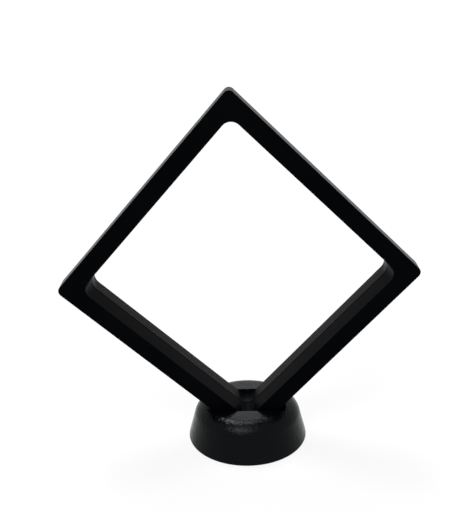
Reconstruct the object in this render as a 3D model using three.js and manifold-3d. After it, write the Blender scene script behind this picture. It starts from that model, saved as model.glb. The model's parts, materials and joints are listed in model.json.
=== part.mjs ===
// Floating frame display case: a square frame with two clear films stands on one corner in a round stand.
// Millimetres, +Z up, the front faces -Y, and the origin is the centre of the stand's underside.

import * as THREE from 'three';
import { mergeVertices } from 'three/addons/utils/BufferGeometryUtils.js';
import Module from 'manifold-3d';

const wasm = await Module();
wasm.setup();

// Frame, measured at the parting line between its halves unless the name says otherwise
const frameSide = 110;
const frameDepth = 20;
const barFaceWidth = 7.4;
const outerDraft = 0.5;
const windowDraft = 0.67;
const outerCornerRadius = 2.5;
const windowCornerRadius = 4.6;
const faceEdgeRadius = 0.3;
const frameWall = 1.4;
const partingGap = 0.1;

// Films and the carrier rings that hold them inside the frame's channel
const filmThickness = 0.2;
const filmGap = 0.1;
const filmMargin = 0.3;
const carrierWidth = 2;
const carrierDepth = 5;
const carrierGap = 0.3;

// Lip on each ring's right-hand side: it passes the films and the other ring, and shuts the parting gap to light
const lipWidth = 0.8;
const lipReach = 0.8;
const lipRoot = 1.5;
const lipGap = 0.3;

// Corner posts that snap the halves together
const postRadius = 2.4;
const postGap = 0.3;
const postWallBite = 0.2;
const pinRadius = 1.3;
const pinReach = 3;
const pinTaper = 0.4;
const pinGap = 0.25;

// Stand
const standRadius = 27.8;
const standHeight = 17.7;
const standWall = 1.8;
const footEdgeRadius = 0.65;
const shoulderRadius = 7.7;
const skirtTilt = THREE.MathUtils.degToRad(15.1);
const landWidth = 8;

// Seat: where the frame's lowest corner stands in the stand, and how far the frame leans in it
const cornerHeight = 3.3;
const cornerOffset = 0.5;
const seatGap = 0.3;
const lean = THREE.MathUtils.degToRad(2.57);

// Cuts run this far past the material that they cut
const overrun = 1;

// Facets
const cornerSteps = 12;
const edgeSteps = 3;
const shoulderSteps = 12;
const footEdgeSteps = 4;
const standSegments = 96;
const postSegments = 24;

// Values that follow from the sizes above
const quarterTurn = Math.PI / 2;
const halfSide = frameSide / 2;
const halfDepth = frameDepth / 2;
const rimPlane = partingGap / 2;
const windowHalf = halfSide - outerDraft - barFaceWidth - windowDraft;
const channelOuterHalf = halfSide - outerDraft - frameWall;
const channelInnerHalf = windowHalf + windowDraft + frameWall;
const channelOuterRadius = Math.max(outerCornerRadius - frameWall, faceEdgeRadius);
const channelInnerRadius = windowCornerRadius + frameWall;
const channelFloor = halfDepth - frameWall;
const filmTop = filmGap + filmThickness;
const carrierTop = filmTop + filmGap;
const carrierInnerHalf = channelInnerHalf + carrierGap;
const carrierOuterHalf = carrierInnerHalf + carrierWidth;
const postPlace = channelOuterHalf - postRadius + postWallBite;
const cornerSigns = [[1, 1], [-1, 1], [-1, -1], [1, -1]];
const cornerCentre = cornerHeight + outerCornerRadius;

// Closed mesh to solid: only positions are kept, shared points are merged and collapsed faces dropped
function toSolid(geometry) {
  geometry.deleteAttribute('normal');
  geometry.deleteAttribute('uv');
  const merged = mergeVertices(geometry);
  const corners = merged.index.array;
  const kept = [];
  for (let i = 0; i < corners.length; i += 3) {
    const [a, b, c] = corners.slice(i, i + 3);
    if (a !== b && b !== c && c !== a) kept.push(a, b, c);
  }
  const mesh = new wasm.Mesh({
    numProp: 3,
    vertProperties: new Float32Array(merged.attributes.position.array),
    triVerts: new Uint32Array(kept),
  });
  return new wasm.Manifold(mesh);
}

// Solid back to a geometry
function toGeometry(solid) {
  const { vertProperties, triVerts } = solid.getMesh();
  const geometry = new THREE.BufferGeometry();
  geometry.setAttribute('position', new THREE.BufferAttribute(vertProperties, 3));
  geometry.setIndex(new THREE.BufferAttribute(triVerts, 1));
  geometry.computeVertexNormals();
  return geometry;
}

// Points along an arc about a centre, from one angle to another
function arc(centreX, centreY, radius, from, to, steps) {
  return Array.from({ length: steps + 1 }, (_, step) => {
    const angle = from + (to - from) * (step / steps);
    return new THREE.Vector2(centreX + radius * Math.cos(angle), centreY + radius * Math.sin(angle));
  });
}

// Points of a square with round corners
function roundedSquare(half, radius) {
  const reach = half - radius;
  return cornerSigns.flatMap(([x, y], corner) => {
    const start = corner * quarterTurn;
    return arc(x * reach, y * reach, radius, start, start + quarterTurn, cornerSteps);
  });
}

// Straight plate with a rounded square outline, between two depths
function plate(half, radius, from, to) {
  const shape = new THREE.Shape(roundedSquare(half, radius));
  const geometry = new THREE.ExtrudeGeometry(shape, { depth: to - from, bevelEnabled: false });
  return toSolid(geometry.translate(0, 0, from));
}

// Drafted block with a rounded square outline at each level, and a flat cap at both ends
function draftedBlock(levels) {
  const rings = levels.map(({ half, radius }) => roundedSquare(half, radius));
  const count = rings[0].length;
  const points = rings.flatMap((ring, level) => ring.flatMap(({ x, y }) => [x, y, levels[level].depth]));
  const bottom = points.length / 3;
  const top = bottom + 1;
  points.push(0, 0, levels[0].depth, 0, 0, levels[levels.length - 1].depth);
  const faces = [];
  for (let i = 0; i < count; i += 1) {
    const next = (i + 1) % count;
    for (let level = 0; level + 1 < rings.length; level += 1) {
      const here = level * count;
      const above = here + count;
      faces.push(here + i, here + next, above + next, here + i, above + next, above + i);
    }
    const last = (rings.length - 1) * count;
    faces.push(bottom, next, i, top, last + i, last + next);
  }
  const geometry = new THREE.BufferGeometry();
  geometry.setAttribute('position', new THREE.Float32BufferAttribute(points, 3));
  geometry.setIndex(faces);
  return toSolid(geometry);
}

// Round body about the depth axis, from a profile of radius and depth
function turned(profile, segments, x, y) {
  const points = profile.map(([radius, depth]) => new THREE.Vector2(radius, depth));
  const geometry = new THREE.LatheGeometry(points, segments);
  return toSolid(geometry.rotateX(quarterTurn).translate(x, y, 0));
}

// Levels of a drafted side wall that ends in the face's small round: inward is 1 outside, -1 in the window
function wallLevels(half, radius, draft, inward, start) {
  const draftAt = (depth) => draft * depth / halfDepth;
  const levels = [{ half: half - inward * draftAt(start), radius, depth: start }];
  const edgeDepth = halfDepth - faceEdgeRadius;
  for (const { x, y } of arc(-faceEdgeRadius, edgeDepth, faceEdgeRadius, 0, quarterTurn, edgeSteps)) {
    levels.push({ half: half + inward * (x - draftAt(y)), radius, depth: y });
  }
  return levels;
}

// Room round the four corner posts, for cutting what has to pass them
function postClearance() {
  const radius = postRadius + postGap;
  const start = -lipReach - overrun;
  const profile = [[0, start], [radius, start], [radius, halfDepth], [0, halfDepth]];
  return cornerSigns
    .map(([x, y]) => turned(profile, postSegments, x * postPlace, y * postPlace))
    .reduce((all, one) => all.add(one));
}

// Half of the frame: a drafted channel with pins on one side and sockets on the other
function frameHalf() {
  const outside = draftedBlock(wallLevels(halfSide, outerCornerRadius, outerDraft, 1, rimPlane));
  const windowLevels = wallLevels(windowHalf, windowCornerRadius, windowDraft, -1, -overrun);
  windowLevels.push({ ...windowLevels[windowLevels.length - 1], depth: halfDepth + overrun });
  const window = draftedBlock(windowLevels);
  const channel = plate(channelOuterHalf, channelOuterRadius, -overrun, channelFloor)
    .subtract(plate(channelInnerHalf, channelInnerRadius, -2 * overrun, channelFloor + overrun));
  const filmSeat = plate(carrierInnerHalf, channelInnerRadius + carrierGap, -overrun, carrierTop);
  let half = outside.subtract(window).subtract(channel).subtract(filmSeat);

  const postTop = rimPlane + postGap;
  const postFoot = channelFloor + frameWall / 2;
  const post = [[0, postTop], [postRadius, postTop], [postRadius, postFoot], [0, postFoot]];
  const pinNeck = pinRadius - pinTaper;
  const pinShoulder = pinTaper - pinReach;
  const pinTip = [[0, -pinReach], [pinNeck, -pinReach], [pinRadius, pinShoulder]];
  const pin = [...pinTip, [pinRadius, postFoot], [0, postFoot]];
  const boreRadius = pinRadius + pinGap;
  const boreEnd = pinReach + pinGap;
  const bore = [[0, -overrun], [boreRadius, -overrun], [boreRadius, boreEnd], [0, boreEnd]];
  for (const [x, y] of cornerSigns) {
    const at = (profile) => turned(profile, postSegments, x * postPlace, y * postPlace);
    half = half.add(at(post));
    half = x > 0 ? half.add(at(pin)) : half.subtract(at(bore));
  }
  return toGeometry(half);
}

// Lip of one carrier ring, and the root that joins it to the ring
function carrierLip() {
  const innerHalf = carrierOuterHalf + lipGap;
  const outerHalf = innerHalf + lipWidth;
  const rightSide = new THREE.BoxGeometry(halfSide, frameSide, frameDepth);
  return plate(outerHalf, windowCornerRadius, -lipReach, carrierTop + lipRoot)
    .subtract(plate(innerHalf, windowCornerRadius, -lipReach - overrun, carrierTop))
    .intersect(toSolid(rightSide.translate((halfSide + lipGap) / 2, 0, 0)));
}

// Carrier ring: sits in the channel round the window's wall, with its corners cut back from the posts
function filmCarrier() {
  const carrierEnd = carrierTop + carrierDepth;
  const innerRadius = channelInnerRadius + carrierGap;
  const inside = plate(carrierInnerHalf, innerRadius, carrierTop - overrun, carrierEnd + overrun);
  const ring = plate(carrierOuterHalf, windowCornerRadius, carrierTop, carrierEnd);
  return toGeometry(ring.add(carrierLip()).subtract(inside).subtract(postClearance()));
}

// Film: one clear sheet across the window, welded to the carrier's edge
function film() {
  const half = carrierOuterHalf - filmMargin;
  return toGeometry(plate(half, windowCornerRadius, filmGap, filmTop).subtract(postClearance()));
}

// Profile of the stand, a tilted skirt under a round shoulder, moved in by the wall for the hollow inside
function standProfile(wall) {
  const tiltSine = Math.sin(skirtTilt);
  const tiltCosine = Math.cos(skirtTilt);
  const footCentre = standRadius - footEdgeRadius;
  const shoulderHeight = standHeight - shoulderRadius;
  const skirtRise = shoulderHeight + shoulderRadius * tiltSine - footEdgeRadius * (1 + tiltSine);
  const skirtRun = skirtRise * Math.tan(skirtTilt);
  const shoulderCentre = footCentre + (footEdgeRadius - shoulderRadius) * tiltCosine - skirtRun;
  const roundRadius = shoulderRadius - wall;
  const shoulder = arc(shoulderCentre, shoulderHeight, roundRadius, skirtTilt, quarterTurn, shoulderSteps);
  const roof = [...shoulder, new THREE.Vector2(0, standHeight - wall)].map(({ x, y }) => [x, y]);
  if (wall > 0) {
    const mouthRadius = shoulder[0].x + (shoulder[0].y + overrun) * Math.tan(skirtTilt);
    return [[0, -overrun], [mouthRadius, -overrun], ...roof];
  }
  const footEdge = arc(footCentre, footEdgeRadius, footEdgeRadius, -quarterTurn, skirtTilt, footEdgeSteps);
  return [[0, 0], ...footEdge.map(({ x, y }) => [x, y]), ...roof];
}

// Wedge along Y, round at the frame's corner, with walls as steep as the frame's lower left side
function seatWedge(radius, halfWidth) {
  const wallAngle = quarterTurn / 2 - lean;
  const wallTop = standHeight + overrun;
  const touchHeight = cornerCentre - radius * Math.cos(wallAngle);
  const reach = radius * Math.sin(wallAngle) + (wallTop - touchHeight) / Math.tan(wallAngle);
  const shape = new THREE.Shape();
  shape.absarc(cornerOffset, cornerCentre, radius, -quarterTurn - wallAngle, -quarterTurn + wallAngle);
  shape.lineTo(cornerOffset + reach, wallTop);
  shape.lineTo(cornerOffset - reach, wallTop);
  const options = { depth: 2 * halfWidth, bevelEnabled: false, curveSegments: cornerSteps };
  const geometry = new THREE.ExtrudeGeometry(shape, options);
  return toSolid(geometry.translate(0, 0, -halfWidth).rotateX(quarterTurn));
}

// Stand: a hollow shell with the seat sunk across it, whose underside reaches the table on a flat land
function stand() {
  const outside = turned(standProfile(0), standSegments, 0, 0);
  const hollow = turned(standProfile(standWall), standSegments, 0, 0);
  const seatRadius = outerCornerRadius + seatGap;
  const seatHalfWidth = halfDepth + seatGap;
  const troughHalfWidth = seatHalfWidth + standWall;
  const landHeight = overrun + cornerCentre;
  const land = new THREE.BoxGeometry(landWidth, 2 * troughHalfWidth, landHeight);
  const trough = seatWedge(seatRadius + standWall, troughHalfWidth)
    .add(toSolid(land.translate(0, 0, landHeight / 2 - overrun)))
    .intersect(outside);
  const shell = outside.subtract(hollow).add(trough);
  return toGeometry(shell.subtract(seatWedge(seatRadius, seatHalfWidth)));
}

// Materials
const frameBlack = { color: 0x0b0b0c, roughness: 0.45, metalness: 0 };
const standBlack = { color: 0x101112, roughness: 0.55, metalness: 0 };
const carrierBlack = { color: 0x121212, roughness: 0.6, metalness: 0 };
const clearFilm = { color: 0xf4f8f8, roughness: 0.08, metalness: 0, transparent: true, opacity: 0.12 };

function piece(name, geometry, finish) {
  const mesh = new THREE.Mesh(geometry, new THREE.MeshStandardMaterial(finish));
  mesh.name = name;
  return mesh;
}

// One half with its film: built with its face along +Z, then stood up so that it faces the front
function halfAssembly(side) {
  const group = new THREE.Group();
  group.add(piece(`${side}_frame`, frameHalf(), frameBlack));
  group.add(piece(`${side}_film_carrier`, filmCarrier(), carrierBlack));
  group.add(piece(`${side}_film`, film(), clearFilm));
  group.rotation.x = quarterTurn;
  return group;
}

// The rear half is the front half turned about an upright axis
const rearTurn = new THREE.Group();
rearTurn.add(halfAssembly('rear'));
rearTurn.rotation.z = 2 * quarterTurn;

// The frame stands on one corner, leaning to the left about that corner's centre
const frame = new THREE.Group();
frame.add(halfAssembly('front'), rearTurn);
const cornerToCentre = Math.SQRT2 * (halfSide - outerCornerRadius);
frame.rotation.y = -(quarterTurn / 2 + lean);
frame.position.x = cornerOffset - cornerToCentre * Math.sin(lean);
frame.position.z = cornerCentre + cornerToCentre * Math.cos(lean);

const displayCase = new THREE.Group();
displayCase.add(piece('stand', stand(), standBlack), frame);

export default displayCase;
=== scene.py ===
# Floating frame display case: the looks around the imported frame, in metres, +Z up, the front towards -Y
import json
import math

import bpy
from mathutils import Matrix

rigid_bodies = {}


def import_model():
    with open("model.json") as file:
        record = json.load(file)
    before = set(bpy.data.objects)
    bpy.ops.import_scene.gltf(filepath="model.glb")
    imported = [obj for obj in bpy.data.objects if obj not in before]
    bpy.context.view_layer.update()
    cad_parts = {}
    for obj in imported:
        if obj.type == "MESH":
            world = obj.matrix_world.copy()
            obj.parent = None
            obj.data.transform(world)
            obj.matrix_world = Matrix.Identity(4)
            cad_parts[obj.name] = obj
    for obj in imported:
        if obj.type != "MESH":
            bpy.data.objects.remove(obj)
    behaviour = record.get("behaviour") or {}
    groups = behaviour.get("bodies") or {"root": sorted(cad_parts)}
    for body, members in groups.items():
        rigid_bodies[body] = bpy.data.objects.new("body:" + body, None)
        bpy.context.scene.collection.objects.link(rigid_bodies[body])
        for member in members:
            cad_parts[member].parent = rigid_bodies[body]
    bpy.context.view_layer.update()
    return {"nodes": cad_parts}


for leftover in list(bpy.data.objects):
    bpy.data.objects.remove(leftover)
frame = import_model()

MM = 0.001

# Picture size and the fitted camera, in pixels of the photograph
PICTURE_WIDTH, PICTURE_HEIGHT = 471, 530
FOCAL_LENGTH = 646.1
CENTRE_X, CENTRE_Y = 256.58, 317.06

# Camera's place and turn
CAMERA_PLACE = (-3.24 * MM, -264.80 * MM, 171.96 * MM)
CAMERA_TURN = (67.057, 0.118, -1.701)
SENSOR = 36.0


def make_camera():
    data = bpy.data.cameras.new("camera")
    camera = bpy.data.objects.new("camera", data)
    bpy.context.scene.collection.objects.link(camera)
    camera.location = CAMERA_PLACE
    camera.rotation_euler = [math.radians(angle) for angle in CAMERA_TURN]
    data.sensor_width = SENSOR
    data.lens = FOCAL_LENGTH / PICTURE_HEIGHT * SENSOR
    data.shift_x = (PICTURE_WIDTH / 2 - CENTRE_X) / PICTURE_HEIGHT
    data.shift_y = (CENTRE_Y - PICTURE_HEIGHT / 2) / PICTURE_HEIGHT
    data.clip_start, data.clip_end = 10 * MM, 50.0
    bpy.context.scene.camera = camera


make_camera()


# Adds a node, with its settings, and its inputs given as values or as the sockets that feed them
def add_node(tree, kind, inputs=None, **settings):
    node = tree.nodes.new(kind)
    for name, value in settings.items():
        setattr(node, name, value)
    for name, value in (inputs or {}).items():
        socket = node.inputs[name]
        if isinstance(value, bpy.types.NodeSocket):
            tree.links.new(value, socket)
        else:
            socket.default_value = value
    return node


def new_material(name):
    material = bpy.data.materials.new(name)
    material.use_nodes = True
    material.node_tree.nodes.clear()
    return material, material.node_tree


def finish_material(tree, shader):
    add_node(tree, "ShaderNodeOutputMaterial", {"Surface": shader})


def noise(tree, coords, scale, detail=2.0, roughness=0.5):
    inputs = {"Vector": coords, "Scale": scale, "Detail": detail, "Roughness": roughness}
    return add_node(tree, "ShaderNodeTexNoise", inputs).outputs["Fac"]


def remap(tree, value, low, high, to_low, to_high):
    inputs = {"Value": value, "From Min": low, "From Max": high, "To Min": to_low, "To Max": to_high}
    return add_node(tree, "ShaderNodeMapRange", inputs).outputs["Result"]


def blend_colours(tree, factor, first, second):
    node = add_node(tree, "ShaderNodeMix", {0: factor}, data_type="RGBA")
    for socket, value in ((node.inputs[6], first), (node.inputs[7], second)):
        if isinstance(value, bpy.types.NodeSocket):
            tree.links.new(value, socket)
        else:
            socket.default_value = value
    return node.outputs[2]


def calculate(tree, operation, first, second):
    return add_node(tree, "ShaderNodeMath", {0: first, 1: second}, operation=operation).outputs[0]


# Share of wear and painted edge highlight at a surface point: 1 on the edges and 0 on the flats
def edge_share(tree, radius):
    rounded = add_node(tree, "ShaderNodeBevel", {"Radius": radius}, samples=8).outputs["Normal"]
    flat = add_node(tree, "ShaderNodeNewGeometry").outputs["Normal"]
    match = add_node(tree, "ShaderNodeVectorMath", {0: rounded, 1: flat}, operation="DOT_PRODUCT")
    return remap(tree, match.outputs["Value"], 0.99, 0.85, 0.0, 1.0)


# Plastics' patterns: the slow drift and the patches of edge wear and painted edge highlight, with the noise
# values between which each one acts
DRIFT_SCALE, DRIFT_LOW, DRIFT_HIGH = 38.0, 0.3, 0.7
PATCH_SCALE, PATCH_LOW, PATCH_HIGH = 420.0, 0.45, 0.7

# Wear along the edges, which also paints a highlight there: its width, how far it shows in the colour, and how
# much it smooths
WEAR_AND_HIGHLIGHT_WIDTH, WEAR_AND_HIGHLIGHT_SHARE, WEAR_POLISH = 0.2 * MM, 0.6, 0.1
ROUGHNESS_DRIFT = 0.03

# Leather grain: how far its cells bend, how round they are, and the share of fine noise on them
PEBBLE_BEND, PEBBLE_ROUNDING, PEBBLE_NOISE = 0.35, 0.35, 0.35
BEND_SCALE = 0.7
NO_TINT = (1.0, 1.0, 1.0, 1.0)


# Black moulded plastic: slow colour drift, a fine or leather grain, and a touch of wear on the edges, whose
# lighter colour also paints a highlight on them
def black_plastic(
    name, dark, light, worn_and_highlight, gloss, roughness, grain_scale, grain_depth, pebbles=False, tint=NO_TINT
):
    material, tree = new_material(name)
    coords = add_node(tree, "ShaderNodeTexCoord").outputs["Object"]
    drift = noise(tree, coords, DRIFT_SCALE, 3.0, 0.55)
    fine = noise(tree, coords, grain_scale, 3.0, 0.6)
    if pebbles:
        bent = noise(tree, coords, grain_scale * BEND_SCALE, 2.0)
        reach = PEBBLE_BEND / grain_scale
        shift = add_node(tree, "ShaderNodeCombineXYZ", {
            "X": calculate(tree, "MULTIPLY", bent, reach),
            "Y": calculate(tree, "MULTIPLY", fine, reach),
            "Z": calculate(tree, "MULTIPLY", bent, -reach),
        }).outputs[0]
        moved = add_node(tree, "ShaderNodeVectorMath", {0: coords, 1: shift}, operation="ADD")
        cells = add_node(
            tree, "ShaderNodeTexVoronoi",
            {"Vector": moved.outputs[0], "Scale": grain_scale, "Smoothness": PEBBLE_ROUNDING},
            feature="SMOOTH_F1",
        ).outputs["Distance"]
        height = calculate(tree, "SUBTRACT", calculate(tree, "MULTIPLY", fine, PEBBLE_NOISE), cells)
    else:
        height = fine
    bump = add_node(
        tree, "ShaderNodeBump", {"Strength": 1.0, "Distance": grain_depth, "Height": height}
    ).outputs["Normal"]
    edges = edge_share(tree, WEAR_AND_HIGHLIGHT_WIDTH)
    patches = noise(tree, coords, PATCH_SCALE, 4.0, 0.65)
    wear_and_highlight = calculate(tree, "MULTIPLY", edges, remap(tree, patches, PATCH_LOW, PATCH_HIGH, 0.0, 1.0))
    colour = blend_colours(tree, remap(tree, drift, DRIFT_LOW, DRIFT_HIGH, 0.0, 1.0), dark, light)
    # Lighter colour on the edges: wear, and a painted highlight along them
    colour = blend_colours(tree, calculate(tree, "MULTIPLY", wear_and_highlight, WEAR_AND_HIGHLIGHT_SHARE), colour, worn_and_highlight)
    smooth, coarse = roughness - ROUGHNESS_DRIFT, roughness + ROUGHNESS_DRIFT
    rough = remap(tree, drift, DRIFT_LOW, DRIFT_HIGH, smooth, coarse)
    rough = calculate(tree, "SUBTRACT", rough, calculate(tree, "MULTIPLY", wear_and_highlight, WEAR_POLISH))
    shader = add_node(tree, "ShaderNodeBsdfPrincipled", {
        "Base Color": colour,
        "Roughness": rough,
        "Specular IOR Level": gloss,
        "Specular Tint": tint,
        "Normal": bump,
    })
    finish_material(tree, shader.outputs[0])
    return material


# Film: the scale of its haze, the roughness that the haze gives, and the index that sets its gloss
HAZE_SCALE, HAZE_SMOOTH, HAZE_COARSE = 60.0, 0.04, 0.12
FILM_INDEX = 1.08


# Clear film: what is behind it shows, with a faint gloss that grows towards the edge-on view
def clear_film(name):
    material, tree = new_material(name)
    coords = add_node(tree, "ShaderNodeTexCoord").outputs["Object"]
    haze = noise(tree, coords, HAZE_SCALE, 4.0, 0.6)
    gloss = add_node(tree, "ShaderNodeBsdfPrincipled", {
        "Base Color": (0.9, 0.92, 0.92, 1.0),
        "Roughness": remap(tree, haze, 0.3, 0.7, HAZE_SMOOTH, HAZE_COARSE),
        "Specular IOR Level": 0.5,
    })
    clear = add_node(tree, "ShaderNodeBsdfTransparent", {"Color": (1.0, 1.0, 1.0, 1.0)})
    inside = add_node(tree, "ShaderNodeNewGeometry").outputs["Backfacing"]
    edge_on = add_node(tree, "ShaderNodeFresnel", {"IOR": FILM_INDEX}).outputs[0]
    share = calculate(tree, "MULTIPLY", edge_on, calculate(tree, "SUBTRACT", 1.0, inside))
    shaders = {0: share, 1: clear.outputs[0], 2: gloss.outputs[0]}
    mixed = add_node(tree, "ShaderNodeMixShader", shaders)
    finish_material(tree, mixed.outputs[0])
    return material


# Packed corners closer than this are one corner
JOIN_DISTANCE = 0.001 * MM


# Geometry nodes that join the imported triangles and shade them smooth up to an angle
def smooth_group(limit):
    group = bpy.data.node_groups.new("smooth_shading", "GeometryNodeTree")
    for way in ("INPUT", "OUTPUT"):
        group.interface.new_socket("Geometry", in_out=way, socket_type="NodeSocketGeometry")
    source = add_node(group, "NodeGroupInput").outputs[0]
    inputs = {"Geometry": source, "Distance": JOIN_DISTANCE}
    joined = add_node(group, "GeometryNodeMergeByDistance", inputs).outputs[0]
    inputs = {"Geometry": joined, "Name": "custom_normal"}
    plain = add_node(group, "GeometryNodeRemoveAttribute", inputs).outputs[0]
    inputs = {"Geometry": plain, "Shade Smooth": True}
    faces = add_node(group, "GeometryNodeSetShadeSmooth", inputs, domain="FACE").outputs[0]
    angle = add_node(group, "GeometryNodeInputMeshEdgeAngle").outputs["Unsigned Angle"]
    soft = add_node(group, "FunctionNodeCompare", {0: angle, 1: limit}, operation="LESS_THAN")
    inputs = {"Geometry": faces, "Shade Smooth": soft.outputs[0]}
    edges = add_node(group, "GeometryNodeSetShadeSmooth", inputs, domain="EDGE").outputs[0]
    add_node(group, "NodeGroupOutput", {0: edges})
    return group


# Colours, and the finishes made from them
BLUE_BLACK, SOFT_BLACK = (0.0008, 0.0010, 0.0016, 1.0), (0.0018, 0.0021, 0.0028, 1.0)
# Lighter black for the edges: wear, and a painted edge highlight
WORN_AND_HIGHLIGHT_BLACK = (0.02, 0.02, 0.02, 1.0)
FRAME_BLACK = black_plastic(
    "frame_plastic", BLUE_BLACK, SOFT_BLACK, WORN_AND_HIGHLIGHT_BLACK,
    gloss=0.009, roughness=0.28, grain_scale=2600.0, grain_depth=0.006 * MM,
)
STAND_BLACK = black_plastic(
    "stand_plastic", BLUE_BLACK, SOFT_BLACK, WORN_AND_HIGHLIGHT_BLACK,
    gloss=0.07, roughness=0.12, grain_scale=1150.0, grain_depth=0.12 * MM,
    pebbles=True, tint=(0.9, 1.0, 0.97, 1.0),
)
CARRIER_BLACK = black_plastic(
    "carrier_plastic", (0.005, 0.005, 0.005, 1.0), (0.009, 0.009, 0.009, 1.0), WORN_AND_HIGHLIGHT_BLACK,
    gloss=0.2, roughness=0.5, grain_scale=2200.0, grain_depth=0.006 * MM,
)
CLEAR_FILM = clear_film("film")

FINISHES = {
    "stand": (STAND_BLACK, "stand_black"),
    "front_frame": (FRAME_BLACK, "frame_black"),
    "rear_frame": (FRAME_BLACK, "frame_black"),
    "front_film_carrier": (CARRIER_BLACK, "carrier_black"),
    "rear_film_carrier": (CARRIER_BLACK, "carrier_black"),
    "front_film": (CLEAR_FILM, "clear_film"),
    "rear_film": (CLEAR_FILM, "clear_film"),
}
SMOOTH_UP_TO = math.radians(12)
SMOOTH = smooth_group(SMOOTH_UP_TO)
for name, (finish, slot) in FINISHES.items():
    node = frame["nodes"][name]
    node.material_slots[0].material = finish
    node.modifiers.new("smooth_shading", "NODES").node_group = SMOOTH
    flat = node.modifiers.new("flat_faces", "WEIGHTED_NORMAL")
    flat.keep_sharp, flat.weight = True, 100

# The bars' gloss looks straight past the clear films, which keeps it free of noise
for name in ("front_film", "rear_film"):
    frame["nodes"][name].visible_glossy = False
    frame["nodes"][name].visible_diffuse = False


# Share of a ray's looks that comes from what the camera, gloss and clear things show
def shown_rays(tree):
    path = add_node(tree, "ShaderNodeLightPath")
    either = calculate(tree, "MAXIMUM", path.outputs["Is Camera Ray"], path.outputs["Is Glossy Ray"])
    return calculate(tree, "MAXIMUM", either, path.outputs["Is Transmission Ray"])


WHITE = (1.0, 1.0, 1.0, 1.0)


def make_world(fill):
    world = bpy.data.worlds.new("world")
    bpy.context.scene.world = world
    world.use_nodes = True
    tree = world.node_tree
    tree.nodes.clear()
    strength = remap(tree, shown_rays(tree), 0.0, 1.0, fill, 1.0)
    light = add_node(tree, "ShaderNodeBackground", {"Color": WHITE, "Strength": strength})
    add_node(tree, "ShaderNodeOutputWorld", {"Surface": light.outputs[0]})


# Floor, just under the stand's foot, and its paint
FLOOR_HEIGHT = -0.05 * MM
FLOOR_PAINT = (0.9, 0.9, 0.9, 1.0)
CORNER_SIGNS = ((-1, -1), (1, -1), (1, 1), (-1, 1))


# Floor: pale, and its shown share is lifted to white while the shadow stays
def make_floor(half, lift):
    mesh = bpy.data.meshes.new("floor")
    mesh.from_pydata([(x * half, y * half, FLOOR_HEIGHT) for x, y in CORNER_SIGNS], [], [(0, 1, 2, 3)])
    floor = bpy.data.objects.new("floor", mesh)
    bpy.context.scene.collection.objects.link(floor)
    material, tree = new_material("floor_paint")
    rest = 1.0 - lift
    paint = add_node(tree, "ShaderNodeBsdfDiffuse", {"Color": FLOOR_PAINT}).outputs[0]
    faint = add_node(tree, "ShaderNodeBsdfDiffuse", {"Color": (rest, rest, rest, 1.0)}).outputs[0]
    glow = add_node(tree, "ShaderNodeEmission", {"Color": WHITE, "Strength": lift}).outputs[0]
    lifted = add_node(tree, "ShaderNodeAddShader", {0: faint, 1: glow}).outputs[0]
    mixed = add_node(tree, "ShaderNodeMixShader", {0: shown_rays(tree), 1: paint, 2: lifted})
    finish_material(tree, mixed.outputs[0])
    mesh.materials.append(material)


# Even light from one direction, as from a far softbox of that width, all in degrees
def make_key(name, azimuth, elevation, width, strength):
    data = bpy.data.lights.new(name, "SUN")
    data.angle = math.radians(width)
    data.energy = strength
    lamp = bpy.data.objects.new(name, data)
    bpy.context.scene.collection.objects.link(lamp)
    lamp.rotation_euler = (math.radians(90 - elevation), 0.0, math.radians(azimuth))


make_world(fill=0.1)
make_floor(half=40.0, lift=0.84)

# Lamps: name, azimuth, where 0 is the front and 180 the back, elevation, width and strength
KEYS = (
    ("key_behind", 186.0, 33.0, 26.0, 0.25),
    ("key_above_behind", 202.0, 65.0, 24.0, 1.8),
    ("key_above", 235.0, 80.0, 28.0, 0.3),
    ("key_above_front", -24.0, 66.0, 28.0, 0.6),
    ("key_front", -20.0, 50.0, 28.0, 1.2),
)
for key in KEYS:
    make_key(*key)

bpy.context.scene.view_settings.view_transform = "Standard"
